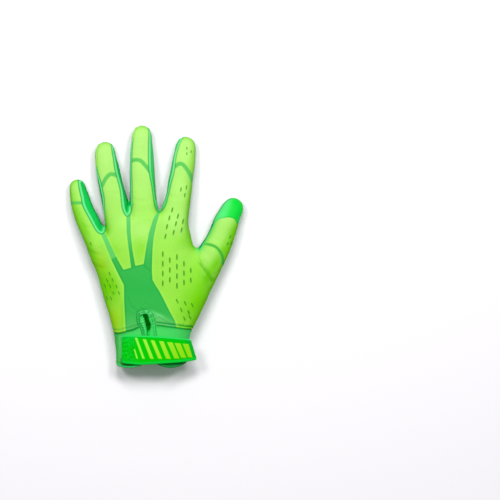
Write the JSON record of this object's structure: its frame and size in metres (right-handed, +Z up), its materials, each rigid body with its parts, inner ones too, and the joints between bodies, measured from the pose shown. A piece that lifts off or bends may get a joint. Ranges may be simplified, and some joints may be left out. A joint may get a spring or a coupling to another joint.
{
  "type": "football receiver glove",
  "caption": "Close-fitting receiver glove lying palm down, with finger gussets, thumb tip cap, slit cuff with bound edge and striped wrist strap; hollow, open at the wrist.",
  "frame": {"origin": "middle of the underside of the bounding box, on the surface that the glove lies on", "axes": "+Y towards the fingertips, +Z up out of the back of the hand, +X towards the thumb"},
  "size_m": [0.1658, 0.2352, 0.0345],
  "materials": {
    "back_fabric": "smooth lime stretch mesh with a slight sheen, mid green tendon bands and darker oval vents",
    "palm_grip": "satin bright green coated grip cloth",
    "gusset_knit": "matt green stretch knit",
    "tip_grip": "satin bright green coated grip cloth",
    "cuff_knit": "matt green neoprene with a fine knit face",
    "binding": "matt green elastic tape, puckered and stitched",
    "strap_rubber": "satin moulded rubber with slanted lime stripes"
  },
  "bodies": {
    "root": {"back_panel": "back_fabric", "palm_panel": "palm_grip", "fourchette_little_ring": "gusset_knit", "fourchette_ring_middle": "gusset_knit", "fourchette_middle_index": "gusset_knit", "thumb_tip": "tip_grip", "cuff": "cuff_knit", "slit_binding": "binding", "wrist_strap": "strap_rubber"}
  },
  "joints": []
}
